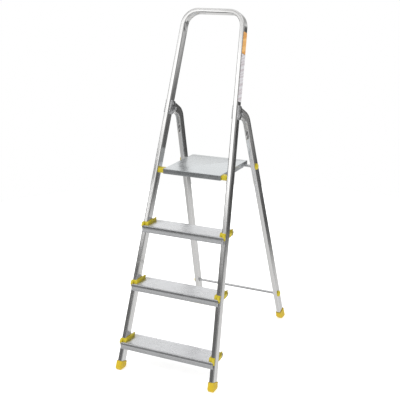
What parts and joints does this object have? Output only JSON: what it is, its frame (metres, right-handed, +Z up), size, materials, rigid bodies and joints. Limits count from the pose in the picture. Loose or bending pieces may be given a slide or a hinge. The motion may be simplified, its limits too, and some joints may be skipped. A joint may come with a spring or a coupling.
{
  "type": "platform step ladder",
  "caption": "Folding aluminium step ladder with ribbed treads, a flip-up standing platform, a bent-tube handrail and a hinged rear frame.",
  "frame": {"origin": "on the floor, under the middle of the open ladder's footprint", "axes": "+Z up, +X to the right of a person climbing, +Y away from that person towards the rear frame"},
  "size_m": [0.47, 0.8341, 1.4928],
  "materials": {
    "polished_tube": "polished drawn tube",
    "ribbed_tread": "mill finish extrusion, ribbed",
    "deck_sheet": "rolled sheet, fine streaks",
    "yellow_plastic": "moulded, satin",
    "foot_plastic": "moulded, slightly soft",
    "steel_fittings": "zinc plated",
    "orange_label": "printed film, blank",
    "pale_label": "printed film, blank"
  },
  "bodies": {
    "front_frame": {"front_frame": "polished_tube", "tread_1": "ribbed_tread", "tread_2": "ribbed_tread", "tread_3": "ribbed_tread", "tread_1_collar_left": "yellow_plastic", "tread_1_collar_right": "yellow_plastic", "tread_2_collar_left": "yellow_plastic", "tread_2_collar_right": "yellow_plastic", "tread_3_collar_left": "yellow_plastic", "tread_3_collar_right": "yellow_plastic", "front_foot_left": "foot_plastic", "front_foot_right": "foot_plastic", "platform_pivot_block_left": "yellow_plastic", "platform_pivot_block_right": "yellow_plastic", "platform_pivot_pin_left": "steel_fittings", "platform_pivot_pin_right": "steel_fittings", "hinge_bracket_left": "steel_fittings", "hinge_bracket_right": "steel_fittings", "hinge_pin_left": "steel_fittings", "hinge_pin_right": "steel_fittings", "bracket_rivets": "steel_fittings", "tread_rivets": "steel_fittings", "upper_label": "orange_label", "lower_label": "pale_label"},
    "rear_frame": {"rear_leg_left": "polished_tube", "rear_leg_right": "polished_tube", "lower_cross_rod": "steel_fittings", "upper_cross_rod": "steel_fittings", "rod_rings": "steel_fittings", "lower_rod_cap_left": "yellow_plastic", "lower_rod_cap_right": "yellow_plastic", "upper_rod_cap_left": "yellow_plastic", "upper_rod_cap_right": "yellow_plastic", "rear_foot_left": "foot_plastic", "rear_foot_right": "foot_plastic"},
    "platform": {"platform_deck": "deck_sheet"}
  },
  "joints": [
    {"name": "rear_fold", "type": "hinge", "parent": "front_frame", "child": "rear_frame", "pos_m": [0, 0.015, 1.07241], "axis": [-1, 0, 0], "range_deg": [0, 35.5]},
    {"name": "platform_fold", "type": "hinge", "parent": "front_frame", "child": "platform", "pos_m": [0, -0.1066, 0.827], "axis": [1, 0, 0], "range_deg": [0, 71]}
  ],
  "couplings": [
    {"joint": "platform_fold", "follows": "rear_fold", "ratio": 2}
  ]
}
